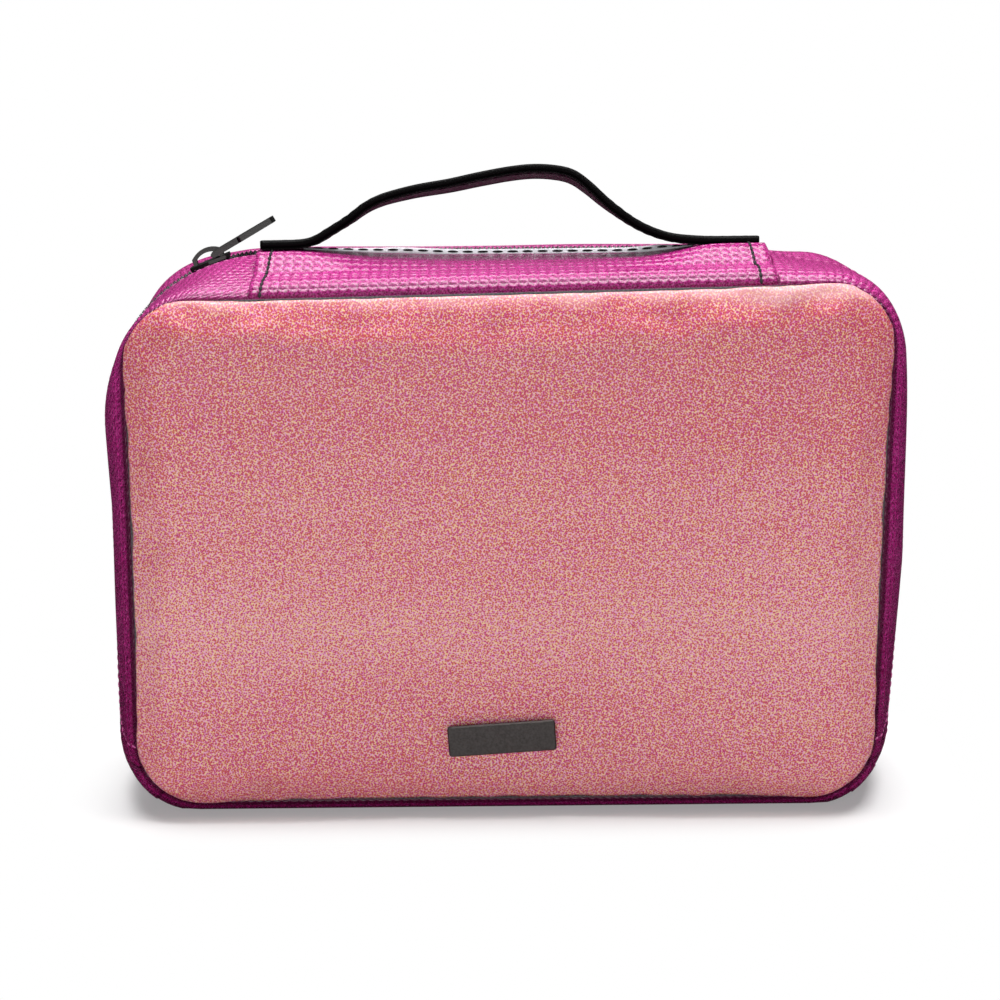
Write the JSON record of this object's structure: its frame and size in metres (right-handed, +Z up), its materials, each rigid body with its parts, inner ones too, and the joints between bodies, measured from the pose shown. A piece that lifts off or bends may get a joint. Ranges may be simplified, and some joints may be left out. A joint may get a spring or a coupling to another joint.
{
  "type": "makeup train case",
  "caption": "Soft-sided zipped vanity case with padded front, swelling gusset, fold-down front, strap handle, zip slider and padded dividers",
  "frame": {"origin": "middle of the flat base that the closed case stands on", "axes": "+X to the viewer's right along the front, +Y from the front panel to the back, +Z up"},
  "size_m": [0.2496, 0.0957, 0.1988],
  "materials": {
    "front_vinyl": "glossy woven-backed vinyl",
    "gusset_vinyl": "glossy woven-backed vinyl",
    "strap_leather": "smooth",
    "strap_lining": "matt",
    "zip_black": "matt",
    "tape_black": "woven",
    "gunmetal": "satin",
    "foam": "open cell",
    "lining_cloth": "woven",
    "board": "matt",
    "net": "open net"
  },
  "bodies": {
    "case_body": {"body_gusset_skin": "gusset_vinyl", "body_gusset_lining": "lining_cloth", "body_left_pad": "foam", "body_right_pad": "foam", "body_top_pad": "foam", "body_bottom_pad": "foam", "back_panel_skin": "gusset_vinyl", "back_panel_foam": "foam", "back_panel_lining": "lining_cloth", "back_seam_binding": "tape_black", "hinge_binding": "tape_black", "zip_tape_body": "tape_black", "zip_coil_body": "zip_black", "zip_end_tabs": "gusset_vinyl", "base_board": "board", "long_divider": "lining_cloth", "left_divider": "lining_cloth", "right_divider": "lining_cloth"},
    "lid": {"lid_gusset_skin": "gusset_vinyl", "lid_gusset_lining": "lining_cloth", "lid_left_pad": "foam", "lid_right_pad": "foam", "lid_top_pad": "foam", "front_panel_skin": "front_vinyl", "front_panel_foam": "foam", "front_panel_lining": "lining_cloth", "front_seam_binding": "tape_black", "zip_tape_lid": "tape_black", "zip_coil_lid": "zip_black", "handle_patch": "gusset_vinyl", "strap_end_left": "strap_leather", "strap_end_right": "strap_leather", "name_plate": "gunmetal", "net_pocket": "net", "pocket_hem": "tape_black"},
    "handle": {"handle_strap_upper": "strap_leather", "handle_strap_under": "strap_lining"},
    "slider": {"slider_body": "gunmetal", "slider_bridge": "gunmetal"},
    "pull": {"pull_link": "gunmetal", "pull_tab": "gunmetal"}
  },
  "joints": [
    {"name": "lid_hinge", "type": "hinge", "parent": "case_body", "child": "lid", "pos_m": [0, -0.042, 0.004], "axis": [1, 0, 0], "range_deg": [0, 85]},
    {"name": "handle_swing", "type": "hinge", "parent": "lid", "child": "handle", "pos_m": [0, -0.0135, 0.1835], "axis": [1, 0, 0], "range_deg": [-28, 55]},
    {"name": "slider_run", "type": "hinge", "parent": "case_body", "child": "slider", "pos_m": [-0.0725, 0, 0.1175], "axis": [0, 1, 0], "range_deg": [-60, 17]},
    {"name": "pull_swing", "type": "hinge", "parent": "slider", "child": "pull", "pos_m": [-0.0905, 0, 0.16998], "axis": [0, 1, 0], "range_deg": [-150, 4]}
  ]
}
